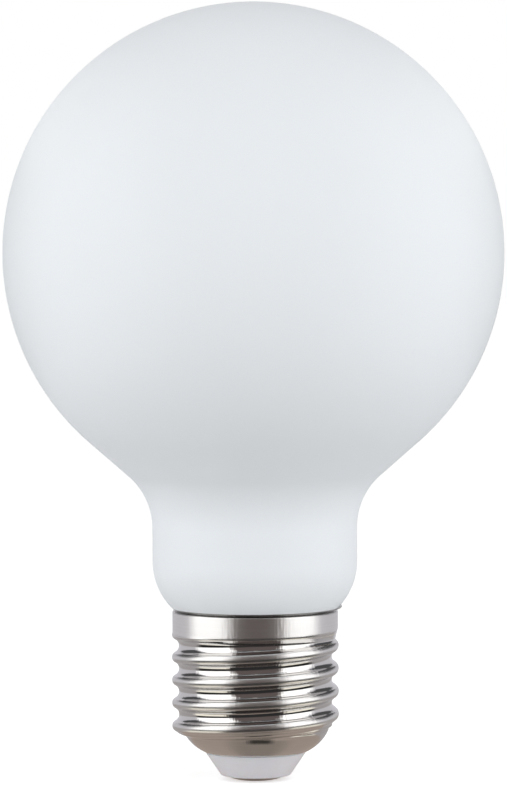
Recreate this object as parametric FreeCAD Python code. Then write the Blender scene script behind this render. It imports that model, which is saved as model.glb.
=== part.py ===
"""Globe bulb on a 27 mm screw cap, in millimetres, cap down, +Z up the axis.

The origin is the flat of the centre contact, on the axis. Every piece but the thread and the side
lead is turned about that axis, so its section is drawn in the XZ plane as (radius, height) points.
"""
import FreeCAD
import Part

import math
import os

# Whole bulb
overall_height = 122.7

# Glass envelope
globe_diameter = 79.0
globe_leave_angle = 48.8        # how far below the equator the straight shoulder leaves the globe
shoulder_sweep_radius = 11.0    # hollow sweep from the shoulder into the neck
neck_diameter = 32.4
neck_foot_radius = 10.5         # round foot of the neck, down to the cap's rim
neck_seat_gap = 0.1             # height left between the glass and the rim's inner corner
stub_to_root_gap = 0.53         # room for cement between the glass stub and the thread's roots
stub_sweep_radius = 1.0
stub_length = 7.9
stub_bottom_round = 2.0

# Rolled sheet shell
sheet_thickness = 0.27
lip_diameter = 15.4
lip_height = 3.95
lip_turn_in = 0.5
bowl_radius = 10.8
bowl_lip_angle = 60.0           # how far below level the bowl faces at the lip
bowl_height = 4.59              # from the lip to the last crest at -X
thread_pitch = 3.629
thread_turns = 4                # crests that show on the -X side
thread_crest_diameter = 26.4
thread_depth = 1.096
crest_flat = 0.02               # depth by which the crests' tops are flattened
crest_draft = 0.02              # how much the crests narrow, on the radius, from the band to the lip
thread_end_drop = 0.98          # last crest at -X above the inner edge of the thread's end cone
thread_end_diameter = 22.4      # inner edge of the end cone, where it meets the bowl
thread_end_slope = 24.4         # the end cone's rise from level
thread_end_tilt = 2.5           # the end cone leans up towards +X, as the last half turn climbs
band_diameter = 26.2
band_height = 3.6
band_foot_rise = 1.66           # from the top root at -X to the band's lower edge

# Cement ring
cement_gap = 0.1                # left free under the glass's sweep and above the band's slope

# Insulator
insulator_base_height = 0.6
insulator_base_diameter = 10.4
insulator_base_round = 0.5
insulator_lip_land = 0.05       # the cone is this much wider than the lip
insulator_bowl_gap = 0.1
insulator_flange_thickness = 1.0
insulator_cup_diameter = 10.0
insulator_floor_thickness = 3.2

# Centre contact
contact_diameter = 8.7
contact_flat_diameter = 4.0
contact_edge_thickness = 0.12
contact_stem_diameter = 1.9
contact_stem_rise = 1.6         # stem end above the insulator's cup floor

# Side lead
lead_diameter = 0.5
lead_length = 0.95              # along its axis, from the rim to the middle of its rounded end
lead_side_angle = -12.0         # degrees round the axis from +X, so a little to the front
lead_trim_slope = 20.0          # its underside is dressed off at this rise from level, beyond the band

# Sizes that follow
globe_radius = globe_diameter / 2
globe_centre_height = overall_height - globe_radius
neck_radius = neck_diameter / 2
crest_radius = thread_crest_diameter / 2
root_radius = crest_radius - thread_depth
flank_half_height = thread_pitch / 4
flank_half_depth = thread_depth / 2
thread_arc_radius = (flank_half_height ** 2 + flank_half_depth ** 2) / (2 * flank_half_depth)
flank_angle = math.asin(flank_half_height / thread_arc_radius)
last_crest_height = lip_height + bowl_height
top_root_height = last_crest_height + (thread_turns - 0.5) * thread_pitch
band_bottom_height = top_root_height + band_foot_rise
rim_height = band_bottom_height + band_height
band_radius = band_diameter / 2
band_inner_radius = band_radius - sheet_thickness
stub_radius = root_radius - sheet_thickness - stub_to_root_gap
lip_radius = lip_diameter / 2
lip_opening_radius = lip_radius - lip_turn_in
contact_radius = contact_diameter / 2

# Room for tools to run past what they cut
overrun = 1.0


def point(radius, height):
    """Place in the section plane."""
    return FreeCAD.Vector(radius, 0, height)


def line(start, end):
    """Straight stretch of a section."""
    return Part.LineSegment(start, end).toShape()


def arc_about(centre, radius, start_angle, end_angle):
    """Round stretch of a section; angles in radians, zero outwards and a quarter turn upwards."""
    places = []
    for share in (0.0, 0.5, 1.0):
        angle = start_angle + share * (end_angle - start_angle)
        places.append(centre + point(radius * math.cos(angle), radius * math.sin(angle)))
    return Part.Arc(*places).toShape()


def ends_of(edge):
    """First and last place of an edge, in the direction it was drawn."""
    return edge.valueAt(edge.FirstParameter), edge.valueAt(edge.LastParameter)


def wire_of(edges):
    """Closed wire of the edges of one section."""
    return Part.Wire(Part.__sortEdges__(edges))


def chain(places):
    """Straight stretches from place to place."""
    return [line(a, b) for a, b in zip(places, places[1:])]


def turned(edges):
    """Solid of revolution of a closed section."""
    face = Part.Face(wire_of(edges))
    return face.revolve(FreeCAD.Vector(0, 0, 0), FreeCAD.Vector(0, 0, 1), 360)


def corner_round(before, corner, after, radius):
    """Arc of the given radius that rounds the corner between two straight stretches."""
    back = (before - corner).normalize()
    on = (after - corner).normalize()
    half = back.getAngle(on) / 2
    setback = radius / math.tan(half)
    inward = (back + on).normalize()
    middle = corner + inward * (radius / math.sin(half) - radius)
    return Part.Arc(corner + back * setback, middle, corner + on * setback).toShape()


# The neck's foot comes down to the rim, so its arc is placed from the rim's inner corner.
def neck_foot_centre():
    """Centre of the arc at the foot of the neck."""
    centre_radius = neck_radius - neck_foot_radius
    reach = (band_inner_radius - centre_radius) / neck_foot_radius
    drop = neck_foot_radius * math.sin(math.acos(reach))
    return point(centre_radius, rim_height + neck_seat_gap + drop)


def stub_sweep_centre():
    """Centre of the hollow arc from the neck's foot into the stub."""
    centre = neck_foot_centre()
    both = neck_foot_radius + stub_sweep_radius
    across = stub_radius + stub_sweep_radius - centre.x
    return centre + point(across, -math.sqrt(both ** 2 - across ** 2))


def glass_globe():
    """Sealed opal envelope: globe, straight shoulder, neck and the stub inside the cap."""
    centre = point(0, globe_centre_height)
    leave = math.radians(globe_leave_angle)
    top = point(0, overall_height)
    globe = arc_about(centre, globe_radius, math.pi / 2, -leave)

    # The shoulder runs straight from the globe and sweeps into the upright neck.
    leave_point = ends_of(globe)[1]
    slant = (leave_point.x - neck_radius) / math.sin(leave)
    corner = leave_point - point(slant * math.sin(leave), slant * math.cos(leave))
    neck_top_height = corner.z - shoulder_sweep_radius * math.tan(leave / 2)
    sweep_centre = point(neck_radius + shoulder_sweep_radius, neck_top_height)
    sweep = arc_about(sweep_centre, shoulder_sweep_radius, math.pi - leave, math.pi)
    sweep_top, neck_top = ends_of(sweep)

    # The foot rolls in under the neck, then sweeps into the stub.
    foot_centre = neck_foot_centre()
    stub_centre = stub_sweep_centre()
    foot_angle = math.acos((stub_centre.x - foot_centre.x) / (neck_foot_radius + stub_sweep_radius))
    foot = arc_about(foot_centre, neck_foot_radius, 0, -foot_angle)
    stub_sweep = arc_about(stub_centre, stub_sweep_radius, math.pi - foot_angle, math.pi)
    neck_bottom = ends_of(foot)[0]
    stub_top = ends_of(stub_sweep)[1]
    stub_foot = stub_top - point(0, stub_length)
    stub_middle = point(0, stub_foot.z)
    stub_round = corner_round(stub_top, stub_foot, stub_middle, stub_bottom_round)
    round_top, round_bottom = ends_of(stub_round)
    return turned([
        globe,
        line(leave_point, sweep_top),
        sweep,
        line(neck_top, neck_bottom),
        foot,
        stub_sweep,
        line(stub_top, round_top),
        stub_round,
        line(round_bottom, stub_middle),
        line(stub_middle, top),
    ])


def thread_groove(inset):
    """Right-hand helical tool for the groove and the near halves of the crests beside it."""
    crest_arc = thread_arc_radius - inset
    crest_line = crest_radius - thread_arc_radius
    root_line = root_radius + thread_arc_radius
    # The tool's edges just clear the flattened crests.
    brim_angle = math.acos(1 - 0.8 * crest_flat / crest_arc)
    upper = arc_about(point(crest_line, thread_pitch / 2), crest_arc, -brim_angle, -flank_angle)
    root_arc = thread_arc_radius + inset
    root = arc_about(point(root_line, 0), root_arc, math.pi - flank_angle, math.pi + flank_angle)
    lower = arc_about(point(crest_line, -thread_pitch / 2), crest_arc, flank_angle, brim_angle)
    brim_top = ends_of(upper)[0]
    brim_bottom = ends_of(lower)[1]
    back_radius = crest_radius + overrun
    back = chain([brim_bottom, point(back_radius, brim_bottom.z), point(back_radius, brim_top.z), brim_top])

    # One turn more than shows, so that both ends run out past the band and the bowl.
    height = (thread_turns + 1.5) * thread_pitch
    helix = Part.makeLongHelix(thread_pitch, height, crest_radius)
    sweep = Part.BRepOffsetAPI.MakePipeShell(Part.Wire(helix.Edges))
    sweep.setFrenetMode(True)
    sweep.add(wire_of([upper, root, lower] + back))
    sweep.build()
    sweep.makeSolid()
    groove = sweep.shape()
    groove.translate(point(0, top_root_height - (thread_turns + 0.5) * thread_pitch))
    return groove


def thread_end(inset):
    """Body above the leaning cone that ends the thread over the bowl."""
    slope = math.radians(thread_end_slope)
    inner = point(thread_end_diameter / 2, last_crest_height - thread_end_drop)
    lift = point(0, inset / math.cos(slope))
    run = crest_radius + overrun - inner.x
    outer = inner + point(run, run * math.tan(slope))
    top = point(0, rim_height)
    places = [point(0, inner.z) + lift, inner + lift, outer + lift, point(outer.x, top.z), top]
    body = turned(chain(places + places[:1]))
    body.rotate(point(0, inner.z), FreeCAD.Vector(0, 1, 0), -thread_end_tilt)
    return body


def bowl(inset):
    """Round bottom of the cap, from the lip up into the thread's end."""
    centre = bowl_centre()
    top_reach = root_radius - sheet_thickness - centre.x
    top_angle = math.acos(top_reach / bowl_radius)
    foot_angle = math.asin((centre.z - lip_height - inset) / (bowl_radius - inset))
    side = arc_about(centre, bowl_radius - inset, -top_angle, -foot_angle)
    side_top, side_foot = ends_of(side)
    return turned([side] + chain([side_foot, point(0, side_foot.z), point(0, side_top.z), side_top]))


def bowl_centre():
    """Centre of the bowl's round, placed from the lip."""
    angle = math.radians(bowl_lip_angle)
    return point(lip_radius - bowl_radius * math.cos(angle), lip_height + bowl_radius * math.sin(angle))


def band_edge_height(inset):
    """Height where a face, inset from the outside, turns from the band into its 45 degree slope."""
    return band_bottom_height + inset * (math.sqrt(2) - 1)


def band(inset, top_height):
    """Plain band, with the 45 degree slope under it carried on inside the thread to the axis."""
    side_radius = band_radius - inset
    edge_height = band_edge_height(inset)
    return turned(chain([
        point(0, top_height),
        point(side_radius, top_height),
        point(side_radius, edge_height),
        point(0, edge_height - side_radius),
        point(0, top_height),
    ]))


def filled_cap(inset, top_height):
    """Cap as a full body; the inner side of the sheet is the same body, inset by the thickness."""
    blank_height = band_bottom_height - lip_height
    blank_radius = crest_radius - crest_flat - inset
    blank = Part.makeCone(blank_radius - crest_draft, blank_radius, blank_height, point(0, lip_height))
    threaded = blank.common(thread_end(inset)).cut(thread_groove(inset))
    return threaded.fuse([bowl(inset), band(inset, top_height)]).Solids[0]


def screw_shell():
    """Rolled sheet cap: band, thread, bowl and the lip turned in round the insulator."""
    outside = filled_cap(0, rim_height)
    inside = filled_cap(sheet_thickness, rim_height + overrun)
    opening = Part.makeCylinder(lip_opening_radius, bowl_height, point(0, lip_height - overrun))
    return outside.cut(inside).cut(opening).Solids[0]


def cap_cement():
    """Ring of cement between the glass stub and the band."""
    bottom = band_edge_height(sheet_thickness) + cement_gap
    top = stub_sweep_centre().z - cement_gap
    places = [
        point(stub_radius, bottom),
        point(band_inner_radius, bottom),
        point(band_inner_radius, top),
        point(stub_radius, top),
    ]
    return turned(chain(places + places[:1]))


def cap_insulator():
    """Moulded cone, grooved round the shell's lip, with a cup inside and a hole for the stem."""
    base = point(insulator_base_diameter / 2, insulator_base_height)
    base_inner = point(contact_stem_diameter / 2, insulator_base_height)
    cone_top = point(lip_radius + insulator_lip_land, lip_height)
    base_round = corner_round(base_inner, base, cone_top, insulator_base_round)
    round_inner, round_outer = ends_of(base_round)

    # The flange inside the bowl follows its round.
    lip_top = lip_height + sheet_thickness
    flange_top = lip_top + insulator_flange_thickness
    centre = bowl_centre()
    flange_round = bowl_radius - sheet_thickness - insulator_bowl_gap
    foot_angle = math.asin((centre.z - lip_top) / flange_round)
    top_angle = math.asin((centre.z - flange_top) / flange_round)
    flange_side = arc_about(centre, flange_round, -foot_angle, -top_angle)
    side_foot, side_top = ends_of(flange_side)

    cup_radius = insulator_cup_diameter / 2
    cup_floor = insulator_base_height + insulator_floor_thickness
    groove = chain([
        round_outer,
        cone_top,
        point(lip_opening_radius, lip_height),
        point(lip_opening_radius, lip_top),
        side_foot,
    ])
    cup = chain([
        side_top,
        point(cup_radius, flange_top),
        point(cup_radius, cup_floor),
        point(base_inner.x, cup_floor),
        base_inner,
        round_inner,
    ])
    return turned([base_round] + groove + [flange_side] + cup)


def centre_contact():
    """Domed contact with a flat, and its stem up through the insulator."""
    flat_radius = contact_flat_diameter / 2
    stem_radius = contact_stem_diameter / 2
    edge_height = insulator_base_height - contact_edge_thickness
    stem_top = insulator_base_height + insulator_floor_thickness + contact_stem_rise
    run = contact_radius - flat_radius
    dome_radius = (run ** 2 + edge_height ** 2) / (2 * edge_height)
    dome_end = math.asin(run / dome_radius) - math.pi / 2
    dome = arc_about(point(flat_radius, dome_radius), dome_radius, -math.pi / 2, dome_end)
    return turned([dome] + chain([
        ends_of(dome)[1],
        point(contact_radius, insulator_base_height),
        point(stem_radius, insulator_base_height),
        point(stem_radius, stem_top),
        point(0, stem_top),
        point(0, 0),
        point(flat_radius, 0),
    ]))


def rim_trim():
    """All below the rim's plane, and below a slope that rises outwards from the band."""
    reach = neck_radius + overrun
    rise = (reach - band_radius) * math.tan(math.radians(lead_trim_slope))
    bottom = rim_height - band_height
    rim_edge = point(band_radius, rim_height)
    places = [point(0, bottom), point(reach, bottom), rim_edge + point(reach - band_radius, rise), rim_edge]
    return turned(chain(places + [point(0, rim_height), places[0]]))


def side_lead():
    """Snipped end of the lead-in wire, lying on the neck's foot and welded to the rim."""
    centre = neck_foot_centre()
    lead_radius = lead_diameter / 2
    lie_radius = neck_foot_radius + lead_radius
    rim_angle = -math.asin((centre.z - rim_height) / lie_radius)
    on_rim = centre + point(lie_radius * math.cos(rim_angle), lie_radius * math.sin(rim_angle))
    up_slope = point(-math.sin(rim_angle), math.cos(rim_angle))
    start = on_rim - up_slope * lead_diameter
    wire = Part.makeCylinder(lead_radius, lead_diameter + lead_length, start, up_slope)
    tip = Part.makeSphere(lead_radius, on_rim + up_slope * lead_length)
    lead = wire.fuse(tip).cut(rim_trim()).Solids[0]
    lead.rotate(point(0, 0), FreeCAD.Vector(0, 0, 1), lead_side_angle)
    return lead


def main():
    """Make every piece and write one STEP file for each."""
    pieces = {
        "glass_globe": glass_globe(),
        "screw_shell": screw_shell(),
        "cap_cement": cap_cement(),
        "cap_insulator": cap_insulator(),
        "centre_contact": centre_contact(),
        "side_lead": side_lead(),
    }
    os.makedirs("parts", exist_ok=True)
    for name, shape in pieces.items():
        shape.exportStep(os.path.join("parts", name + ".step"))
        print(name, "solids", len(shape.Solids), "valid", shape.isValid(), "volume", round(shape.Volume, 2))


main()
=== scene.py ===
"""Globe bulb on a rolled screw cap: the finished pieces, in metres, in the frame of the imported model."""

import logging
import math
from dataclasses import dataclass, field
from enum import Enum
from typing import ClassVar, Iterable, Optional, Union

import bmesh
import bpy
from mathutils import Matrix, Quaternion, Vector


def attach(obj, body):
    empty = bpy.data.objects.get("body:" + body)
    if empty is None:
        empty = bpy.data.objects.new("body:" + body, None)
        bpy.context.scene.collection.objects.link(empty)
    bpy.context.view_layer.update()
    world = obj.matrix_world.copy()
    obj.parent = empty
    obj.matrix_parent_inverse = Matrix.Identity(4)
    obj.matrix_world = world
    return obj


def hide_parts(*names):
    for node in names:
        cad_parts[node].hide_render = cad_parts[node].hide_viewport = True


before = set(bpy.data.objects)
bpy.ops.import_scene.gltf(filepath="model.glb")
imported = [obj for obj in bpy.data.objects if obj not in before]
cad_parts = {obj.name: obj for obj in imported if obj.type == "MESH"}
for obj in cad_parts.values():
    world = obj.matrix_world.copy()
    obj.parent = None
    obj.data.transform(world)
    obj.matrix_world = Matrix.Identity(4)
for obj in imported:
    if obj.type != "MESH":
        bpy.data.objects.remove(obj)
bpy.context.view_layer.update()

MM = 0.001
TURN = 2 * math.pi
SEAM = 1e-6  # points closer than this are one point
MITRE = math.sqrt(2) - 1  # how far the corner of a half-square slope moves, for each unit of inset
log = logging.getLogger("globe_bulb")

Socket = bpy.types.NodeSocket
Value = Union[float, tuple, Socket]
Station = tuple[float, float]
Colour = tuple[float, float, float]
Inputs = dict[str, Value]
Interface = dict[str, Union[float, str]]
Object = bpy.types.Object
Material = bpy.types.Material


class Graph:
    """Short ways to add and join nodes in one node tree."""

    def __init__(self, tree: bpy.types.NodeTree) -> None:
        """Work on the given tree."""
        self.tree = tree

    def feed(self, socket: Socket, value: Value) -> None:
        """Join a socket to another, or set it.

        Args:
            socket: The input to feed.
            value: Another node's output, or a plain value.
        """
        if isinstance(value, bpy.types.NodeSocket):
            self.tree.links.new(value, socket)
        else:
            socket.default_value = value

    def fill(self, node: bpy.types.Node, inputs: Inputs) -> None:
        """Feed a node's inputs, by name."""
        for name, value in inputs.items():
            self.feed(node.inputs[name], value)

    def node(self, kind: str, inputs: Optional[Inputs] = None, **settings: object) -> bpy.types.Node:
        """Add a node.

        Args:
            kind: The node's type.
            inputs: Values or outputs for its inputs, by name.
            settings: The node's own properties.

        Returns:
            The new node.
        """
        made = self.tree.nodes.new(kind)
        for name, setting in settings.items():
            setattr(made, name, setting)
        self.fill(made, inputs or {})
        return made

    def result(self, kind: str, inputs: Optional[Inputs] = None, **settings: object) -> Socket:
        """Add a node and give its first output."""
        return self.node(kind, inputs, **settings).outputs[0]

    def math(self, operation: str, *values: Value) -> Socket:
        """Add a math node.

        Args:
            operation: Its operation.
            values: Its operands, in order.

        Returns:
            The result.
        """
        made = self.node("ShaderNodeMath", operation=operation)
        for socket, value in zip(made.inputs, values):
            self.feed(socket, value)
        return made.outputs[0]

    def plus(self, first: Value, second: Value) -> Socket:
        """The sum of two values."""
        return self.math("ADD", first, second)

    def minus(self, first: Value, second: Value) -> Socket:
        """The first value less the second."""
        return self.math("SUBTRACT", first, second)

    def times(self, first: Value, second: Value) -> Socket:
        """The product of two values."""
        return self.math("MULTIPLY", first, second)

    def over(self, first: Value, second: Value) -> Socket:
        """The first value divided by the second."""
        return self.math("DIVIDE", first, second)

    def parts(self, vector: Value) -> tuple[Socket, ...]:
        """The X, Y and Z of a vector."""
        return tuple(self.node("ShaderNodeSeparateXYZ", {"Vector": vector}).outputs)

    def vector(self, x: Value, y: Value, z: Value) -> Socket:
        """The vector of an X, a Y and a Z."""
        return self.result("ShaderNodeCombineXYZ", {"X": x, "Y": y, "Z": z})

    def from_axis(self, x: Value, y: Value) -> Socket:
        """Distance of a point from the Z axis."""
        return self.math("SQRT", self.plus(self.times(x, x), self.times(y, y)))

    def spread(self, value: Value, low: Value, high: Value) -> Socket:
        """Take a mask from 0..1 to low..high."""
        return self.result("ShaderNodeMapRange", {"Value": value, "To Min": low, "To Max": high})

    def mask(self, value: Value, start: float, end: float, ease: str = "LINEAR") -> Socket:
        """Mask that rises from 0 to 1 as a value goes from a start to an end."""
        inputs = {"Value": value, "From Min": start, "From Max": end}
        return self.result("ShaderNodeMapRange", inputs, interpolation_type=ease)

    def mixed(self, mask: Value, first: Value, second: Value) -> Socket:
        """Mix two colours.

        Args:
            mask: How much of the second shows.
            first: A colour.
            second: Another colour.

        Returns:
            The mixed colour.
        """
        mix = self.node("ShaderNodeMix", data_type="RGBA")
        colours = [socket for socket in mix.inputs if socket.type == "RGBA"]
        for socket, value in zip([mix.inputs[0], *colours], (mask, first, second)):
            self.feed(socket, value)
        return [socket for socket in mix.outputs if socket.type == "RGBA"][0]

    def noise(self, place: Socket, scale: Value, detail: float, roughness: float = 0.5) -> Socket:
        """Mask of uneven noise."""
        inputs = {"Vector": place, "Scale": scale, "Detail": detail, "Roughness": roughness}
        return self.result("ShaderNodeTexNoise", inputs)


class Group(Graph):
    """A node group with named inputs and outputs."""

    PLAIN: ClassVar[dict[type, str]] = {int: "NodeSocketInt", float: "NodeSocketFloat"}

    def __init__(self, name: str, kind: str, inputs: Interface, outputs: dict[str, str]) -> None:
        """Make the group and its interface.

        Args:
            name: The group's name.
            kind: GeometryNodeTree or ShaderNodeTree.
            inputs: For each input, its first number, or its socket type where it starts empty.
            outputs: For each output, its socket type.
        """
        super().__init__(bpy.data.node_groups.new(name, kind))
        for label, first in inputs.items():
            plain = self.PLAIN.get(type(first))
            made = self.tree.interface.new_socket(label, in_out="INPUT", socket_type=plain or first)
            if plain:
                made.default_value = first
        for label, socket_type in outputs.items():
            self.tree.interface.new_socket(label, in_out="OUTPUT", socket_type=socket_type)
        self.start = self.node("NodeGroupInput")
        self.end = self.node("NodeGroupOutput")

    def given(self, name: str) -> Socket:
        """The group input of that name."""
        return self.start.outputs[name]

    def give(self, name: str, value: Value) -> None:
        """Feed the group output of that name."""
        self.feed(self.end.inputs[name], value)

    def choose(self, test: Socket, otherwise: Value, where_true: Value) -> Socket:
        """One of two values, by a test."""
        inputs = {"Switch": test, "False": otherwise, "True": where_true}
        return self.result("GeometryNodeSwitch", inputs, input_type="FLOAT")


class RoundTree(Group):
    """A geometry tree that makes a piece of grids wrapped round the Z axis."""

    def __init__(self, name: str, segments: int, sharp_angle: float, inputs: Interface) -> None:
        """Make the tree and its interface.

        Args:
            name: The tree's name.
            segments: How many faces go round the axis.
            sharp_angle: Edges that fold more than this, in radians, stay sharp.
            inputs: The tree's other inputs, as a group takes them.
        """
        shared = {"Segments": segments, "Sharp Angle": sharp_angle, "Material": "NodeSocketMaterial"}
        outputs = {"Geometry": "NodeSocketGeometry"}
        super().__init__(name, "GeometryNodeTree", {**inputs, **shared}, outputs)
        x, y, _ = self.parts(self.result("GeometryNodeInputPosition"))
        self.angle = self.times(self.plus(x, 0.5), TURN)
        self.up = self.plus(y, 0.5)

    def wall(self, rows: Value, radius: Value, height: Value) -> Socket:
        """Wrap a grid once round the axis.

        Args:
            rows: How many rows of points it has.
            radius: Each point's distance from the axis.
            height: Each point's height.

        Returns:
            The wall.
        """
        columns = self.plus(self.given("Segments"), 1.0)
        size = {"Size X": 1.0, "Size Y": 1.0, "Vertices X": columns, "Vertices Y": rows}
        x = self.times(radius, self.math("COSINE", self.angle))
        y = self.times(radius, self.math("SINE", self.angle))
        grid = self.result("GeometryNodeMeshGrid", size)
        placed = {"Geometry": grid, "Position": self.vector(x, y, height)}
        return self.result("GeometryNodeSetPosition", placed)

    def finish(self, geometry: Socket) -> None:
        """Close the seam and the poles, shade smooth up to the sharp angle, and set the material.

        Args:
            geometry: What the tree has made.
        """
        merged = self.result("GeometryNodeMergeByDistance", {"Geometry": geometry, "Distance": SEAM})
        smooth = self.result("GeometryNodeSetShadeSmooth", {"Geometry": merged})
        fold = self.result("GeometryNodeInputMeshEdgeAngle")
        test = {"A": fold, "B": self.given("Sharp Angle")}
        sharp = self.result("FunctionNodeCompare", test, operation="GREATER_THAN")
        kept = {"Geometry": smooth, "Selection": sharp, "Shade Smooth": False}
        edges = self.result("GeometryNodeSetShadeSmooth", kept, domain="EDGE")
        real = self.result("GeometryNodeRealizeInstances", {"Geometry": edges})
        dressed = {"Geometry": real, "Material": self.given("Material")}
        self.give("Geometry", self.result("GeometryNodeSetMaterial", dressed))


def turning_tree() -> RoundTree:
    """Geometry tree that turns a section about the Z axis.

    Returns:
        The tree. Its section is a mesh of vertices in the XZ plane, in order.
    """
    tree = RoundTree("turned_piece", segments=192, sharp_angle=0.6, inputs={"Section": "NodeSocketGeometry"})
    section = tree.given("Section")
    rows = tree.result("GeometryNodeAttributeDomainSize", {"Geometry": section})
    row = tree.math("ROUND", tree.times(tree.up, tree.minus(rows, 1.0)))
    sample = {"Geometry": section, "Value": tree.result("GeometryNodeInputPosition"), "Index": row}
    station = tree.result("GeometryNodeSampleIndex", sample, data_type="FLOAT_VECTOR")
    radius, _, height = tree.parts(station)
    tree.finish(tree.wall(rows, radius, height))
    return tree


def arc(centre: Station, radius: float, start: float, end: float, steps: int) -> list[Station]:
    """Stations of an arc, with both ends. Angles are in radians, zero outwards, a quarter turn upwards."""
    angles = [start + (end - start) * step / steps for step in range(steps + 1)]
    return [(centre[0] + radius * math.cos(a), centre[1] + radius * math.sin(a)) for a in angles]


def rounded(before: Station, corner: Station, after: Station, radius: float, steps: int = 6) -> list[Station]:
    """Stations of a round that takes the corner between two straight stretches.

    Args:
        before: A station on the first stretch.
        corner: Where the stretches meet.
        after: A station on the second stretch.
        radius: The round's radius.
        steps: How many straight steps it is drawn in.

    Returns:
        The stations, from the first stretch to the second.
    """
    middle = Vector(corner)
    back = (Vector(before) - middle).normalized()
    on = (Vector(after) - middle).normalized()
    half = back.angle(on) / 2
    centre = middle + (back + on).normalized() * radius / math.sin(half)
    first = middle + back * radius / math.tan(half) - centre
    turn = first.angle_signed(middle + on * radius / math.tan(half) - centre)
    start = math.atan2(first.y, first.x)
    return arc((centre.x, centre.y), radius, start, start - turn, steps)


def linked(name: str, data: bpy.types.ID) -> Object:
    """Put a new object in the scene.

    Args:
        name: The object's name.
        data: Its mesh, lamp or camera.

    Returns:
        The object.
    """
    made = bpy.data.objects.new(name, data)
    bpy.context.scene.collection.objects.link(made)
    return made


def grown(
    name: str, tree: RoundTree, segments: int, material: Material, section: Iterable[Station] = ()
) -> Object:
    """Make a piece with a geometry tree and keep its result as a plain mesh.

    Args:
        name: The piece's name.
        tree: The geometry tree.
        segments: How many faces go round the axis.
        material: The piece's material.
        section: Stations of the section that the tree turns, if it takes one.

    Returns:
        The piece, at the origin, with no modifier left.
    """
    outline = bpy.data.meshes.new(name + "_section")
    outline.from_pydata([(radius, 0, height) for radius, height in section], [], [])
    piece = linked(name, outline)
    modifier = piece.modifiers.new("shape", "NODES")
    modifier.node_group = tree.tree
    inputs = {"Segments": segments, "Material": material}
    for item in tree.tree.interface.items_tree:
        if item.in_out == "INPUT" and item.name in inputs:
            modifier[item.identifier] = inputs[item.name]
    evaluated = piece.evaluated_get(bpy.context.evaluated_depsgraph_get())
    mesh = bpy.data.meshes.new_from_object(evaluated)
    piece.modifiers.clear()
    piece.data = mesh
    mesh.name = name
    return piece


class ShaderGroup(Group):
    """A shader group that reads coordinates and gives masks and values."""

    def __init__(self, name: str, inputs: dict[str, float], outputs: tuple[str, ...]) -> None:
        """Make the group and its interface.

        Args:
            name: The group's name.
            inputs: The inputs besides the coordinates, with their first values.
            outputs: The outputs' names.
        """
        sockets = {"Vector": "NodeSocketVector", **inputs}
        super().__init__(name, "ShaderNodeTree", sockets, dict.fromkeys(outputs, "NodeSocketFloat"))
        self.place = self.given("Vector")


def grain_group() -> ShaderGroup:
    """Shader group: fine uneven grain, as of sprayed, moulded or baked surfaces.

    Returns:
        The group, which gives a fine and a broad mask.
    """
    group = ShaderGroup("fine_grain", {"Grain Scale": 4000.0, "Cloud Scale": 60.0}, ("Grain", "Cloud"))
    group.give("Grain", group.noise(group.place, group.given("Grain Scale"), detail=3.0, roughness=0.6))
    group.give("Cloud", group.noise(group.place, group.given("Cloud Scale"), detail=2.0))
    return group


def turned_marks_group() -> ShaderGroup:
    """Shader group: faint rings that rolling or turning leaves round the axis, waviness and upright ripples.

    Returns:
        The group. It gives the rings and the waves as masks, the radius, and as relief the waves with
        a share of the ripples.
    """
    inputs = {
        "Ring Scale": 9000.0,
        "Ring Drift": 0.0002,
        "Wave Scale": 350.0,
        "Ripple Scale": 30.0,
        "Ripple Rise": 12.0,
        "Ripple Share": 1.0,
    }
    group = ShaderGroup("turned_marks", inputs, ("Rings", "Waves", "Relief", "Radius"))
    x, y, z = group.parts(group.place)
    radius = group.from_axis(x, y)
    drift = group.times(group.math("ARCTAN2", y, x), group.given("Ring Drift"))
    ring_place = group.vector(radius, drift, z)
    height = group.times(z, group.given("Ripple Rise"))
    ripple_place = group.vector(group.over(x, radius), group.over(y, radius), height)
    waves = group.noise(group.place, group.given("Wave Scale"), detail=1.0)
    ripples = group.noise(ripple_place, group.given("Ripple Scale"), detail=1.0)
    group.give("Rings", group.noise(ring_place, group.given("Ring Scale"), detail=2.0))
    group.give("Waves", waves)
    group.give("Relief", group.math("MULTIPLY_ADD", ripples, group.given("Ripple Share"), waves))
    group.give("Radius", radius)
    return group


@dataclass(frozen=True)
class Surface:
    """A finish: two colours, a range of roughness and a bump. The masks spread them, in that order."""

    name: str
    base: Colour
    second: Colour
    roughness: tuple[float, float]
    bump_height: float
    scales: dict[str, float]
    masks: tuple[str, str, str]
    settings: Inputs = field(default_factory=dict)


# Glass with a satin white coat inside, which shows as an even, slightly cool white.
OPAL_GLASS = Surface(
    name="opal_glass",
    base=(0.845, 0.88, 0.91),
    second=(0.835, 0.87, 0.9),
    roughness=(0.42, 0.5),
    bump_height=4e-6,
    scales={"Grain Scale": 3000.0, "Cloud Scale": 35.0},
    masks=("Cloud", "Grain", "Grain"),
    settings={
        "Coat IOR": 2.2,
        "Coat Roughness": 0.06,
        "IOR": 1.5,
        "Specular IOR Level": 0.3,
        "Subsurface Weight": 0.25,
        "Subsurface Radius": (1.0, 1.0, 1.0),
        "Subsurface Scale": 2 * MM,
    },
)
# Bright nickel plate on rolled sheet, a little wavy, with faint rings from the rolling.
NICKEL_PLATE = Surface(
    name="nickel_plate",
    base=(0.71, 0.7, 0.69),
    second=(0.65, 0.635, 0.62),
    roughness=(0.05, 0.12),
    bump_height=9e-6,
    scales={"Ring Scale": 7000.0, "Wave Scale": 420.0, "Ripple Share": 2.2},
    masks=("Rings", "Rings", "Relief"),
    settings={"Metallic": 1.0},
)
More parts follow.
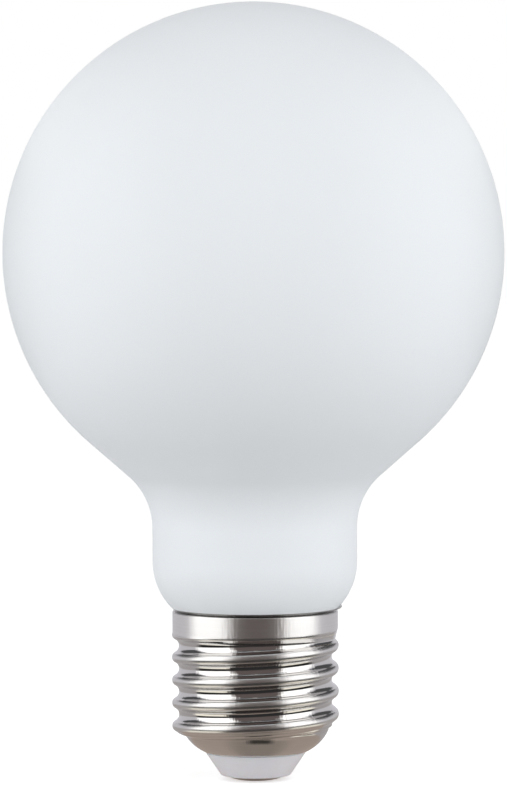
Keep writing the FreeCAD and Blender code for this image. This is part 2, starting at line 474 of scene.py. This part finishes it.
# Moulded white plastic with a soft gloss.
WHITE_INSULATOR = Surface(
    name="white_insulator",
    base=(0.84, 0.83, 0.86),
    second=(0.79, 0.78, 0.82),
    roughness=(0.28, 0.4),
    bump_height=6e-6,
    scales={"Grain Scale": 2200.0, "Cloud Scale": 180.0},
    masks=("Cloud", "Grain", "Grain"),
    settings={"Subsurface Weight": 0.15, "Subsurface Scale": 1 * MM},
)
# Plated contact disc, lightly rubbed in rings.
CONTACT_METAL = Surface(
    name="contact_metal",
    base=(0.5, 0.44, 0.42),
    second=(0.4, 0.35, 0.33),
    roughness=(0.22, 0.4),
    bump_height=8e-6,
    scales={"Ring Scale": 4000.0, "Wave Scale": 900.0},
    masks=("Rings", "Waves", "Rings"),
    settings={"Metallic": 1.0},
)
# Baked basing cement, hidden between the glass and the band.
BASING_CEMENT = Surface(
    name="basing_cement",
    base=(0.42, 0.38, 0.33),
    second=(0.5, 0.46, 0.41),
    roughness=(0.8, 0.95),
    bump_height=6e-5,
    scales={"Grain Scale": 1500.0, "Cloud Scale": 300.0},
    masks=("Grain", "Cloud", "Grain"),
)
# Dull tinned wire end.
LEAD_WIRE = Surface(
    name="lead_wire",
    base=(0.62, 0.62, 0.63),
    second=(0.54, 0.54, 0.55),
    roughness=(0.45, 0.65),
    bump_height=1e-5,
    scales={"Grain Scale": 6000.0, "Cloud Scale": 1500.0},
    masks=("Cloud", "Grain", "Cloud"),
    settings={"Metallic": 0.3},
)


@dataclass(frozen=True)
class PaintedFootShade:
    """Painted shade at the neck's foot: from where the satin coat is made to end, the glass below is drawn
    near-black and glossy, for the shadow in the notch between the glass and the rim.
    """

    height: float = 27.27 * MM
    feather: float = 0.12 * MM
    # Near-black painted shade of the notch between the glass and the rim.
    colour: Colour = (0.045, 0.042, 0.038)
    roughness: float = 0.12


@dataclass(frozen=True)
class Rubbing:
    """From which radius handling dulls the plate, at which it has dulled it wholly, and how much."""

    start: float = 12.85 * MM
    end: float = 13.08 * MM
    roughness: float = 0.29


class Paint(Graph):
    """A named material with one shader."""

    def __init__(self, name: str) -> None:
        """Start the material.

        Args:
            name: The material's name.
        """
        self.material = bpy.data.materials.new(name)
        self.material.use_nodes = True
        super().__init__(self.material.node_tree)
        self.shader = self.tree.nodes["Principled BSDF"]

    def set(self, inputs: Inputs) -> None:
        """Feed the shader's inputs, by name."""
        self.fill(self.shader, inputs)

    def fed(self, name: str) -> Socket:
        """What feeds the shader's input of that name."""
        return self.shader.inputs[name].links[0].from_socket

    def object_coordinates(self) -> Socket:
        """The object's own coordinates."""
        return self.node("ShaderNodeTexCoord").outputs["Object"]


class Finish(Paint):
    """A material whose colours, roughness and bump follow the marks of a shared group."""

    def __init__(self, surface: Surface, group: ShaderGroup) -> None:
        """Start the material and dress it.

        Args:
            surface: What it looks like.
            group: The shared group that gives its marks.
        """
        super().__init__(surface.name)
        self.coordinates = self.object_coordinates()
        placed = {"Vector": self.coordinates, **surface.scales}
        self.marks = self.node("ShaderNodeGroup", placed, node_tree=group.tree).outputs
        tint, rough, relief = (self.marks[name] for name in surface.masks)
        bump = {"Height": relief, "Distance": surface.bump_height, "Strength": 1.0}
        self.set({
            "Base Color": self.mixed(tint, (*surface.base, 1.0), (*surface.second, 1.0)),
            "Roughness": self.spread(rough, *surface.roughness),
            "Normal": self.result("ShaderNodeBump", bump),
            **surface.settings,
        })

    def paint_shade_below(self, clear: PaintedFootShade) -> None:
        """Paint shade below a height: give the surface a dark colour, another roughness and a clear coat
        there.

        Args:
            clear: Where the painted shade starts, and its colour and roughness.
        """
        height = self.parts(self.coordinates)[2]
        mask = self.mask(height, clear.height + clear.feather / 2, clear.height - clear.feather / 2)
        colour = self.mixed(mask, self.fed("Base Color"), (*clear.colour, 1.0))
        rough = self.spread(mask, self.fed("Roughness"), clear.roughness)
        self.set({"Base Color": colour, "Roughness": rough, "Coat Weight": mask})

    def rub(self, rubbing: Rubbing) -> None:
        """Make what stands proud rougher.

        Args:
            rubbing: Where it is rubbed, and how rough it gets.
        """
        mask = self.mask(self.marks["Radius"], rubbing.start, rubbing.end, "SMOOTHSTEP")
        self.set({"Roughness": self.spread(mask, self.fed("Roughness"), rubbing.roughness)})


@dataclass(frozen=True)
class FinishSet:
    """The bulb's materials."""

    opal_glass: Material
    nickel: Material
    insulator: Material
    contact: Material
    cement: Material
    lead: Material


def make_finishes() -> FinishSet:
    """Make the shared shader groups and every material.

    Returns:
        The materials.
    """
    grain = grain_group()
    marks = turned_marks_group()
    glass = Finish(OPAL_GLASS, grain)
    # The glass's foot gets painted shade: a near-black strip for the shadow in the notch at the rim.
    glass.paint_shade_below(PaintedFootShade())
    plate = Finish(NICKEL_PLATE, marks)
    plate.rub(Rubbing())
    return FinishSet(
        opal_glass=glass.material,
        nickel=plate.material,
        insulator=Finish(WHITE_INSULATOR, grain).material,
        contact=Finish(CONTACT_METAL, marks).material,
        cement=Finish(BASING_CEMENT, grain).material,
        lead=Finish(LEAD_WIRE, grain).material,
    )


def settle(piece: Object, node: str) -> None:
    """Let a piece stand for a node of the model.

    Args:
        piece: The finished piece.
        node: The node that it replaces.
    """
    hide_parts(node)
    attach(piece, "root")
    log.info("%s: %d faces", piece.name, len(piece.data.polygons))


@dataclass(frozen=True)
class CapSizes:
    """Sizes of the rolled cap, in metres and radians. Heights are above the contact.

    Under the band the sheet falls in by band_steep of the drop at -X. Towards +X the thread runs out: there
    it falls in by band_fade less, and the band's edge is band_rise higher. The end cone leans by end_tilt.
    """

    sheet: float = 0.27 * MM
    crest_radius: float = 13.2 * MM
    root_radius: float = 12.104 * MM
    crest_arc: float = 0.9 * MM
    root_arc: float = 1.15 * MM
    pitch: float = 3.629 * MM
    top_root: float = 21.2415 * MM
    softness: float = 0.18 * MM
    band_radius: float = 13.1 * MM
    band_bottom: float = 23.25 * MM
    band_rise: float = 0.75 * MM
    band_steep: float = 1.1
    band_fade: float = 0.86
    run_out_power: float = 4.0
    rim: float = 26.8 * MM
    rim_round: float = 0.24 * MM
    end_radius: float = 11.2 * MM
    end_height: float = 7.56 * MM
    end_slope: float = math.radians(24.4)
    end_tilt: float = math.radians(2.5)
    bowl_radius: float = 6.62 * MM
    lip_radius: float = 7.98 * MM
    lip_height: float = 4.4 * MM
    lip_angle: float = math.radians(68)
    lip_turn_in: float = 0.5 * MM

    @property
    def bowl_centre(self) -> Station:
        """Centre of the bowl's round."""
        radius = self.lip_radius - self.bowl_radius * math.cos(self.lip_angle)
        return radius, self.lip_height + self.bowl_radius * math.sin(self.lip_angle)


class RolledRadius(Group):
    """Geometry group: radius of the rolled sheet at a height and angle, inset from its outside."""

    def __init__(self, sizes: CapSizes) -> None:
        """Make the group.

        Args:
            sizes: The cap's sizes.
        """
        inputs = {
            "Height": 0.0,
            "Angle": 0.0,
            "Inset": 0.0,
            "Pitch": sizes.pitch,
            "Crest Radius": sizes.crest_radius,
            "Root Radius": sizes.root_radius,
            "Crest Arc": sizes.crest_arc,
            "Root Arc": sizes.root_arc,
            "Softness": sizes.softness,
        }
        super().__init__("rolled_radius", "GeometryNodeTree", inputs, {"Radius": "NodeSocketFloat"})
        self.sizes = sizes
        self.height, self.angle, self.inset, self.softness = (
            self.given(name) for name in ("Height", "Angle", "Inset", "Softness")
        )
        self.give("Radius", self.with_end(self.with_band(self.thread())))

    def chord(self, radius: Value, offset: Value) -> Socket:
        """Half chord of a circle at an offset from its centre."""
        squares = self.minus(self.times(radius, radius), self.times(offset, offset))
        return self.math("SQRT", self.math("MAXIMUM", squares, 0.0))

    def thread(self) -> Socket:
        """Radius of the endless thread: hollow arcs at the roots, round arcs at the crests.

        Returns:
            The radius.
        """
        pitch, root_arc, crest_arc = (self.given(name) for name in ("Pitch", "Root Arc", "Crest Arc"))
        turned = self.over(self.minus(self.angle, math.pi), TURN)
        phase = self.minus(self.over(self.minus(self.height, self.sizes.top_root), pitch), turned)
        nearest = self.math("FLOOR", self.plus(phase, 0.5))
        from_root = self.times(self.math("ABSOLUTE", self.minus(phase, nearest)), pitch)
        half_pitch = self.times(pitch, 0.5)

        wide = self.plus(root_arc, self.inset)
        narrow = self.minus(crest_arc, self.inset)
        root_line = self.plus(self.given("Root Radius"), root_arc)
        crest_line = self.minus(self.given("Crest Radius"), crest_arc)
        root = self.minus(root_line, self.chord(wide, from_root))
        crest = self.plus(crest_line, self.chord(narrow, self.minus(half_pitch, from_root)))
        turn_over = self.times(half_pitch, self.over(wide, self.plus(wide, narrow)))
        return self.choose(self.math("LESS_THAN", from_root, turn_over), crest, root)

    def with_band(self, thread: Socket) -> Socket:
        """Run the thread out into the slope under the band, and set the band above it.

        The band's lower edge rises as the thread runs out, and its slope fades there.

        Args:
            thread: The thread's radius.

        Returns:
            The radius.
        """
        s = self.sizes
        away = self.over(self.minus(self.angle, math.pi), math.pi)
        run_out = self.math("POWER", self.math("ABSOLUTE", away), s.run_out_power)
        steep = self.math("MULTIPLY_ADD", run_out, -s.band_fade, s.band_steep)
        lowest = self.math("MULTIPLY_ADD", self.inset, MITRE, s.band_bottom)
        edge = self.math("MULTIPLY_ADD", run_out, s.band_rise, lowest)
        side = self.minus(s.band_radius, self.inset)
        above = self.minus(self.height, edge)
        slope = self.math("MULTIPLY_ADD", above, steep, side)
        foot = self.math("SMOOTH_MIN", slope, side, self.softness)
        held = self.math("SMOOTH_MIN", thread, self.minus(side, above), self.softness)
        filled = self.math("SMOOTH_MAX", held, foot, self.softness)
        return self.choose(self.math("GREATER_THAN", above, 0.0), filled, self.rim_rounded(side))

    def rim_rounded(self, side: Socket) -> Socket:
        """Draw the band in by the small round at the rim.

        Args:
            side: The band's radius.

        Returns:
            The radius.
        """
        s = self.sizes
        into = self.math("MAXIMUM", self.minus(self.height, s.rim - s.rim_round), 0.0)
        drawn = self.minus(s.rim_round, self.chord(s.rim_round, into))
        return self.minus(side, drawn)

    def with_end(self, upper: Socket) -> Socket:
        """End the thread by the leaning cone, and run the cone into the bowl.

        Args:
            upper: The radius of thread and band.

        Returns:
            The radius.
        """
        s = self.sizes
        slope = math.tan(s.end_slope)
        lifted = self.plus(s.end_height, self.over(self.inset, math.cos(s.end_slope)))
        rise = self.plus(self.minus(self.height, lifted), s.end_radius * slope)
        lean = self.times(self.math("COSINE", self.angle), math.tan(s.end_tilt))
        cone = self.over(rise, self.plus(slope, lean))
        ended = self.math("SMOOTH_MIN", upper, cone, self.softness)

        centre_radius, centre_height = s.bowl_centre
        bowl_arc = self.minus(s.bowl_radius, self.inset)
        bowl = self.plus(centre_radius, self.chord(bowl_arc, self.minus(centre_height, self.height)))
        held = self.math("MINIMUM", bowl, s.root_radius - 2 * s.sheet)
        return self.math("SMOOTH_MAX", ended, held, self.softness)


@dataclass
class ScrewShell:
    """The rolled sheet cap with its right-hand thread."""

    sizes: CapSizes
    segments: int = 204
    outer_rows: int = 410
    inner_rows: int = 44
    sharp_angle: float = 0.9
    band_share: float = 0.08
    band_ease: float = 2.5

    def shell_tree(self) -> RoundTree:
        """Geometry tree of the whole shell: outside, lip, inside and rim.

        Returns:
            The tree.
        """
        s = self.sizes
        inputs = {"Outer Rows": self.outer_rows, "Inner Rows": self.inner_rows, "Sheet Thickness": s.sheet}
        tree = RoundTree("rolled_shell", self.segments, self.sharp_angle, inputs)
        rolled = RolledRadius(s)
        sheet = tree.given("Sheet Thickness")
        lip_top = s.lip_height + s.sheet
        opening = s.lip_radius - s.lip_turn_in

        def radius_at(height: Value, inset: Value) -> Socket:
            """Radius of the rolled sheet at a height."""
            at = {"Height": height, "Angle": tree.angle, "Inset": inset}
            return tree.result("GeometryNodeGroup", at, node_tree=rolled.tree)

        outer_height = self.outer_height(tree)
        inner_height = tree.spread(tree.up, lip_top, s.rim)
        rim_radius = tree.spread(tree.up, radius_at(s.rim, sheet), radius_at(s.rim, 0.0))
        under_radius = tree.spread(tree.up, radius_at(s.lip_height, 0.0), opening)
        over_radius = tree.spread(tree.up, opening, radius_at(lip_top, sheet))
        walls = (
            tree.wall(tree.given("Outer Rows"), radius_at(outer_height, 0.0), outer_height),
            tree.wall(2, under_radius, s.lip_height),
            tree.wall(2, opening, tree.spread(tree.up, s.lip_height, lip_top)),
            tree.wall(2, over_radius, lip_top),
            tree.wall(tree.given("Inner Rows"), radius_at(inner_height, sheet), inner_height),
            tree.wall(2, rim_radius, s.rim),
        )
        joined = tree.node("GeometryNodeJoinGeometry")
        for wall in walls:
            tree.feed(joined.inputs[0], wall)
        tree.finish(joined.outputs[0])
        return tree

    def outer_height(self, tree: RoundTree) -> Socket:
        """Height along the outside: close rows at the rim, even rows over the thread and the bowl.

        Args:
            tree: The shell's tree.

        Returns:
            The height.
        """
        s = self.sizes
        down = tree.minus(1.0, tree.up)
        into_band = tree.over(tree.minus(self.band_share, down), self.band_share)
        eased = tree.math("POWER", tree.minus(1.0, tree.math("MAXIMUM", into_band, 0.0)), self.band_ease)
        band = tree.minus(s.rim, tree.times(eased, s.rim - s.band_bottom))
        along = tree.over(tree.minus(down, self.band_share), 1 - self.band_share)
        below = tree.minus(s.band_bottom, tree.times(along, s.band_bottom - s.lip_height))
        return tree.choose(tree.math("GREATER_THAN", along, 0.0), band, below)

    def build(self, finishes: FinishSet) -> None:
        """Make the shell, which stands for its node."""
        piece = grown("rolled_screw_shell", self.shell_tree(), self.segments, finishes.nickel)
        settle(piece, "screw_shell")


@dataclass
class GlassEnvelope:
    """The blown opal globe with its shoulder, neck and stub."""

    cap: CapSizes
    top: float = 122.7 * MM
    globe_radius: float = 39.5 * MM
    leave: float = math.radians(48.8)
    sweep_radius: float = 11 * MM
    neck_radius: float = 16.2 * MM
    foot_radius: float = 10.5 * MM
    seat_gap: float = 0.1 * MM
    stub_gap: float = 0.53 * MM
    stub_sweep: float = 1 * MM
    stub_length: float = 7.9 * MM
    stub_round: float = 2 * MM
    segments: int = 240
    globe_steps: int = 220
    sweep_steps: int = 36
    foot_steps: int = 48
    neck_steps: int = 8

    def section(self) -> list[Station]:
        """Stations from the top of the globe down to the middle of the stub.

        Returns:
            The stations.
        """
        centre = (0.0, self.top - self.globe_radius)
        globe = arc(centre, self.globe_radius, math.pi / 2, -self.leave, self.globe_steps)
        leave_radius, leave_height = globe[-1]
        slant = (leave_radius - self.neck_radius) / math.sin(self.leave)
        neck_top = leave_height - slant * math.cos(self.leave) - self.sweep_radius * math.tan(self.leave / 2)
        sweep_centre = (self.neck_radius + self.sweep_radius, neck_top)
        sweep = arc(sweep_centre, self.sweep_radius, math.pi - self.leave, math.pi, self.sweep_steps)

        inner_rim = self.cap.band_radius - self.cap.sheet
        foot_centre_radius = self.neck_radius - self.foot_radius
        reach = (inner_rim - foot_centre_radius) / self.foot_radius
        foot_height = self.cap.rim + self.seat_gap + self.foot_radius * math.sin(math.acos(reach))
        stub_radius = self.cap.root_radius - self.cap.sheet - self.stub_gap
        both = self.foot_radius + self.stub_sweep
        across = stub_radius + self.stub_sweep - foot_centre_radius
        foot_angle = math.acos(across / both)
        foot = arc((foot_centre_radius, foot_height), self.foot_radius, 0, -foot_angle, self.foot_steps)
        stub_height = foot_height - both * math.sin(foot_angle)
        neck_centre = (stub_radius + self.stub_sweep, stub_height)
        neck = arc(neck_centre, self.stub_sweep, math.pi - foot_angle, math.pi, self.neck_steps)
        bottom = stub_height - self.stub_length
        corner = rounded((stub_radius, stub_height), (stub_radius, bottom), (0, bottom), self.stub_round)
        return globe + sweep + foot + neck + corner + [(0.0, bottom)]

    def build(self, finishes: FinishSet, turning: RoundTree) -> None:
        """Make the envelope, which stands for its node."""
        piece = grown("opal_globe", turning, self.segments, finishes.opal_glass, self.section())
        settle(piece, "glass_globe")


@dataclass
class CapFoot:
    """The white insulator in the shell's lip, and the contact under it."""

    cap: CapSizes
    base_height: float = 0.7 * MM
    base_radius: float = 5.5 * MM
    base_round: float = 0.35 * MM
    land: float = 0.05 * MM
    bowl_gap: float = 0.1 * MM
    flange: float = 1.0 * MM
    cup_radius: float = 5 * MM
    floor: float = 3.2 * MM
    contact_radius: float = 4.6 * MM
    contact_flat: float = 2.4 * MM
    contact_edge: float = 0.12 * MM
    stem_radius: float = 0.95 * MM
    stem_rise: float = 1.6 * MM
    insulator_segments: int = 192
    contact_segments: int = 160
    base_steps: int = 10
    flange_steps: int = 8
    dome_steps: int = 16

    def insulator_section(self) -> list[Station]:
        """Stations round the insulator's closed section.

        Returns:
            The stations.
        """
        cap = self.cap
        lip_top = cap.lip_height + cap.sheet
        opening = cap.lip_radius - cap.lip_turn_in
        base_inner = (self.stem_radius, self.base_height)
        cone_top = (cap.lip_radius + self.land, cap.lip_height)
        base_corner = (self.base_radius, self.base_height)
        base = rounded(base_inner, base_corner, cone_top, self.base_round, self.base_steps)
        centre = cap.bowl_centre
        flange_round = cap.bowl_radius - cap.sheet - self.bowl_gap
        low = -math.asin((centre[1] - lip_top) / flange_round)
        high = -math.asin((centre[1] - lip_top - self.flange) / flange_round)
        flange = arc(centre, flange_round, low, high, self.flange_steps)
        cup_floor = self.base_height + self.floor
        cup = [(self.cup_radius, lip_top + self.flange), (self.cup_radius, cup_floor)]
        inner = [*cup, (self.stem_radius, cup_floor)]
        groove = [cone_top, (opening, cap.lip_height), (opening, lip_top)]
        return list(reversed([base_inner] + base + groove + flange + inner + [base_inner]))

    def contact_section(self) -> list[Station]:
        """Stations from the stem's top to the middle of the contact's flat.

        Returns:
            The stations.
        """
        edge = self.base_height - self.contact_edge
        run = self.contact_radius - self.contact_flat
        dome_radius = (run ** 2 + edge ** 2) / (2 * edge)
        dome_end = math.asin(run / dome_radius) - math.pi / 2
        dome_centre = (self.contact_flat, dome_radius)
        dome = arc(dome_centre, dome_radius, dome_end, -math.pi / 2, self.dome_steps)
        stem_top = self.base_height + self.floor + self.stem_rise
        stem = [(0.0, stem_top), (self.stem_radius, stem_top), (self.stem_radius, self.base_height)]
        return stem + [(self.contact_radius, self.base_height)] + dome + [(0.0, 0.0)]

    def build(self, finishes: FinishSet, turning: RoundTree) -> None:
        """Make the insulator and the contact, which stand for their nodes.

        Args:
            finishes: The materials.
            turning: The tree that turns a section.
        """
        white, metal = finishes.insulator, finishes.contact
        cone = grown("insulator_cone", turning, self.insulator_segments, white, self.insulator_section())
        settle(cone, "cap_insulator")
        disc = grown("contact_disc", turning, self.contact_segments, metal, self.contact_section())
        settle(disc, "centre_contact")


@dataclass
class SideLead:
    """The snipped end of the lead-in wire, soldered at the cap's rim."""

    lift: float = 0.5 * MM
    weld: float = 0.0001 * MM

    def build(self, finishes: FinishSet) -> None:
        """Make the lead from its node's mesh, closed and lifted to the rim.

        Args:
            finishes: The materials.
        """
        shape = bmesh.new()
        shape.from_mesh(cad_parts["side_lead"].data)
        bmesh.ops.remove_doubles(shape, verts=shape.verts, dist=self.weld)
        bmesh.ops.translate(shape, verts=shape.verts, vec=(0, 0, self.lift))
        mesh = bpy.data.meshes.new("snipped_lead")
        shape.to_mesh(mesh)
        shape.free()
        mesh.materials.append(finishes.lead)
        settle(linked("snipped_lead", mesh), "side_lead")


class Side(Enum):
    """Where a soft lamp stands, seen from the camera."""

    LEFT = -1
    RIGHT = 1


@dataclass(frozen=True)
class Softbox:
    """A soft rectangular lamp, aimed at the bulb. Angles are in degrees from the camera's side."""

    side: Side
    radiance: float
    azimuth: float = 60.0
    elevation: float = 8.0
    distance: float = 0.9
    width: float = 0.7
    height: float = 0.9

    def build(self, target: Vector) -> None:
        """Make the lamp.

        Args:
            target: Where it is aimed.
        """
        turn, rise = math.radians(self.side.value * self.azimuth), math.radians(self.elevation)
        away = Vector((math.sin(turn) * math.cos(rise), -math.cos(turn) * math.cos(rise), math.sin(rise)))
        name = self.side.name.lower() + "_softbox"
        lamp = bpy.data.lights.new(name, "AREA")
        lamp.shape = "RECTANGLE"
        lamp.size = self.width
        lamp.size_y = self.height
        lamp.energy = self.radiance * math.pi * self.width * self.height
        made = linked(name, lamp)
        made.location = target + away * self.distance
        made.rotation_euler = (-away).to_track_quat("-Z", "Y").to_euler()
        made.visible_glossy = False


@dataclass(frozen=True)
class Panel:
    """A stretch of the set round the bulb, as bright metal shows it. Angles are in degrees."""

    colour: Colour
    azimuth: float = 0.0
    half_width: float = 200.0
    feather: float = 10.0
    low: float = -100.0
    high: float = 100.0
    rise_feather: float = 5.0

    def angles(self) -> dict[str, float]:
        """The panel's angles in radians, by the names of the mask's inputs."""
        names = ("azimuth", "half_width", "feather", "low", "high", "rise_feather")
        return {name.replace("_", " ").title(): math.radians(getattr(self, name)) for name in names}


class PanelMask(ShaderGroup):
    """Shader group: mask of one panel, by the angles at which the cap sees it."""

    def __init__(self, eye_height: float) -> None:
        """Make the group.

        Args:
            eye_height: The height that the panels' rise is seen from.
        """
        super().__init__("panel_mask", Panel((0.0, 0.0, 0.0)).angles(), ("Mask",))
        x, y, z = self.parts(self.place)
        turn = self.math("ARCTAN2", x, self.times(y, -1.0))
        away = self.math("WRAP", self.minus(turn, self.given("Azimuth")), math.pi, -math.pi)
        within = self.minus(self.given("Half Width"), self.math("ABSOLUTE", away))
        rise = self.math("ARCTAN2", self.minus(z, eye_height), self.from_axis(x, y))
        over = self.minus(rise, self.given("Low"))
        under = self.minus(self.given("High"), rise)
        sides = self.feathered(within, self.given("Feather"))
        ends = self.feathered(self.math("MINIMUM", over, under), self.given("Rise Feather"))
        self.give("Mask", self.times(sides, ends))

    def feathered(self, inside: Socket, feather: Socket) -> Socket:
        """Mask that rises over a feather as an angle goes from outside to inside."""
        return self.mask(self.plus(self.over(inside, feather), 0.5), 0.0, 1.0, "SMOOTHSTEP")


@dataclass(frozen=True)
class MetalSet:
    """Glowing panels close round the bulb, which are no lamps, with a brown stretch under it for the shaded
    floor. Only gloss sees them: they paint the reflections and the reflected shade that the metal shows.
    """

    radius: float = 100 * MM
    wall_height: float = 170 * MM
    roof_height: float = 250 * MM
    roof_steps: int = 12
    floor_height: float = 0.02 * MM
    eye_height: float = 18 * MM
    segments: int = 96
    wall: Colour = (0.66, 0.65, 0.69)
    panels: tuple[Panel, ...] = (
        # Bright, grey and dark stretches at the sides and behind, which the flanks show near the outline.
        Panel((1.1, 1.1, 1.1), azimuth=-112, half_width=28, low=40, high=58),
        Panel((1.1, 1.1, 1.1), azimuth=112, half_width=28, low=40, high=58),
        Panel((0.22, 0.23, 0.23), azimuth=180, half_width=34, feather=8, low=22, high=42),
        Panel((0.09, 0.09, 0.095), azimuth=-123, half_width=25, feather=8, low=14, high=44),
        Panel((0.09, 0.09, 0.095), azimuth=125, half_width=27, feather=8, low=14, high=44),
        # Two bright windows over a grey floor, with a warm strip and a dark gap in front of them.
        Panel((0.45, 0.43, 0.43), high=-10),
        Panel((1.75, 1.75, 1.75), azimuth=-51, half_width=41.5, feather=14, low=-9),
        Panel((1.75, 1.75, 1.75), azimuth=49, half_width=39.5, feather=16, low=-9),
        Panel((1.25, 1.2, 1.05), half_width=90, feather=14, low=-48, high=-28),
        Panel((0.03, 0.03, 0.028), half_width=90, feather=14, low=-29, high=-9),
        # The dark slot between the windows, the dim roof and one slim light in it.
        Panel((0.145, 0.12, 0.115), azimuth=1.5, half_width=36, feather=14),
        Panel((0.035, 0.034, 0.034), azimuth=1.5, half_width=37, feather=12, high=-9, rise_feather=14),
        Panel((0.13, 0.13, 0.135), azimuth=1.5, half_width=50, feather=20, low=45),
        Panel((0.13, 0.13, 0.135), azimuth=1.5, half_width=85, feather=20, low=64),
        Panel((0.4, 0.38, 0.36), azimuth=-4, half_width=4, feather=4, low=46, high=64),
        # Painted reflection of shade, which the bowl shows: a glowing brown stretch for the shaded floor
        # under the bulb, its darker middle and a dark spot.
        Panel((0.43, 0.36, 0.315), high=-42),
        Panel((0.29, 0.25, 0.22), azimuth=3, half_width=36, feather=40, high=-50, rise_feather=3),
        Panel(
            (0.05, 0.045, 0.04), azimuth=5.5, half_width=15, feather=14, low=-54, high=-48.5, rise_feather=4
        ),
    )

    def section(self) -> list[Station]:
        """Stations of the roof, the wall and the floor.

        Returns:
            The stations.
        """
        rise = self.roof_height - self.wall_height
        turns = [step * math.pi / 2 / self.roof_steps for step in range(self.roof_steps + 1)]
        roof = [(self.radius * math.sin(turn), self.wall_height + rise * math.cos(turn)) for turn in turns]
        return roof + [(self.radius, self.floor_height), (0.0, self.floor_height)]

    def material(self) -> Material:
        """Glow of the wall and of each panel over it, in order.

        Returns:
            The material.
        """
        paint = Paint("metal_set")
        group = PanelMask(self.eye_height)
        coordinates = paint.object_coordinates()
        colour: Value = (*self.wall, 1.0)
        for panel in self.panels:
            inputs = {"Vector": coordinates, **panel.angles()}
            mask = paint.result("ShaderNodeGroup", inputs, node_tree=group.tree)
            colour = paint.mixed(mask, colour, (*panel.colour, 1.0))
        paint.set({
            "Base Color": (0.0, 0.0, 0.0, 1.0),
            "Specular IOR Level": 0.0,
            "Emission Color": colour,
            "Emission Strength": 1.0,
        })
        return paint.material

    def build(self, turning: RoundTree) -> None:
        """Make the set, which only gloss sees.

        Args:
            turning: The tree that turns a section.
        """
        made = grown("metal_set", turning, self.segments, self.material(), self.section())
        made.visible_camera = False
        made.visible_diffuse = False
        made.visible_transmission = False
        made.visible_shadow = False


@dataclass
class Studio:
    """Floor, backdrop, lamps and camera. The scale is in the photograph's pixels per metre."""

    scale: float = 6338.0
    frame_width: int = 507
    frame_height: int = 787
    camera_distance: float = 0.6
    sensor_height: float = 36.0
    view_end: float = 100.0
    axis_pixel: float = 254.1
    globe_pixel: float = 253.3
    globe_height: float = 83.2 * MM
    roll: float = math.radians(0.27)
    zenith_fill: float = 0.55
    horizon_fill: float = 0.66
    floor_reach: float = 6.0
    floor_colour: float = 0.755
    floor_glow: float = 0.57
    lamps: tuple[Softbox, ...] = (Softbox(Side.LEFT, radiance=2.24), Softbox(Side.RIGHT, radiance=2.32))
    lamp_target: tuple[float, float, float] = (0.0, 0.0, 60 * MM)

    def camera(self) -> None:
        """Set the camera level with the globe, at the photograph's scale."""
        camera = bpy.data.cameras.new("camera")
        camera.sensor_fit = "VERTICAL"
        camera.sensor_height = self.sensor_height
        camera.lens = camera.sensor_height * self.camera_distance * self.scale / self.frame_height
        camera.clip_end = self.view_end
        middle_x = (self.frame_width / 2 - self.axis_pixel) / self.scale
        middle_z = self.globe_height - (self.frame_height / 2 - self.globe_pixel) / self.scale
        made = linked("camera", camera)
        made.location = (middle_x, -self.camera_distance, self.globe_height)
        aim = Vector((middle_x, 0, middle_z)) - made.location
        turned = Quaternion(aim.normalized(), self.roll) @ aim.to_track_quat("-Z", "Y")
        made.rotation_euler = turned.to_euler()
        bpy.context.scene.camera = made

    @staticmethod
    def background(graph: Graph) -> Socket:
        """Mask of the rays that see the plain white background.

        Args:
            graph: The world's or the floor's tree.

        Returns:
            The mask.
        """
        path = graph.node("ShaderNodeLightPath").outputs
        seen = graph.math("MAXIMUM", path["Is Camera Ray"], path["Is Glossy Ray"])
        return graph.math("MAXIMUM", seen, path["Is Transmission Ray"])

    def world(self) -> None:
        """Dim fill from the walls and ceiling, which camera, gloss and glass see as white."""
        world = bpy.data.worlds.new("world")
        bpy.context.scene.world = world
        world.use_nodes = True
        graph = Graph(world.node_tree)
        height = graph.parts(graph.node("ShaderNodeTexCoord").outputs["Generated"])[2]
        fill = graph.spread(height, self.horizon_fill, self.zenith_fill)
        strength = graph.math("MAXIMUM", self.background(graph), fill)
        graph.fill(graph.tree.nodes["Background"], {"Color": (1.0, 1.0, 1.0, 1.0), "Strength": strength})

    def floor(self) -> None:
        """Plain pale floor under the contact."""
        mesh = bpy.data.meshes.new("floor")
        reach = self.floor_reach
        corners = [(-reach, -reach, 0), (reach, -reach, 0), (reach, reach, 0), (-reach, reach, 0)]
        mesh.from_pydata(corners, [], [(0, 1, 2, 3)])
        made = linked("floor", mesh)
        paint = Paint("pale_floor")
        paint.set({
            "Base Color": (self.floor_colour, self.floor_colour, self.floor_colour, 1.0),
            "Roughness": 1.0,
            "Specular IOR Level": 0.0,
            "Emission Color": (1.0, 1.0, 1.0, 1.0),
            "Emission Strength": paint.times(self.background(paint), self.floor_glow),
        })
        mesh.materials.append(paint.material)

    def build(self, turning: RoundTree) -> None:
        """Set up everything round the bulb.

        Args:
            turning: The tree that turns a section.
        """
        bpy.context.scene.view_settings.view_transform = "Standard"
        self.camera()
        self.world()
        self.floor()
        MetalSet().build(turning)
        for lamp in self.lamps:
            lamp.build(Vector(self.lamp_target))


def main() -> None:
    """Build the studio and every piece, in order."""
    logging.basicConfig(level=logging.INFO, format="%(name)s %(message)s")
    turning = turning_tree()
    Studio().build(turning)
    finishes = make_finishes()
    cap = CapSizes()
    GlassEnvelope(cap).build(finishes, turning)
    ScrewShell(cap).build(finishes)
    CapFoot(cap).build(finishes, turning)
    SideLead().build(finishes)
    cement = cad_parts["cap_cement"].data
    cement.materials.clear()
    cement.materials.append(finishes.cement)
    log.info("cap_cement: kept, %d faces", len(cement.polygons))


if __name__ == "__main__":
    main()
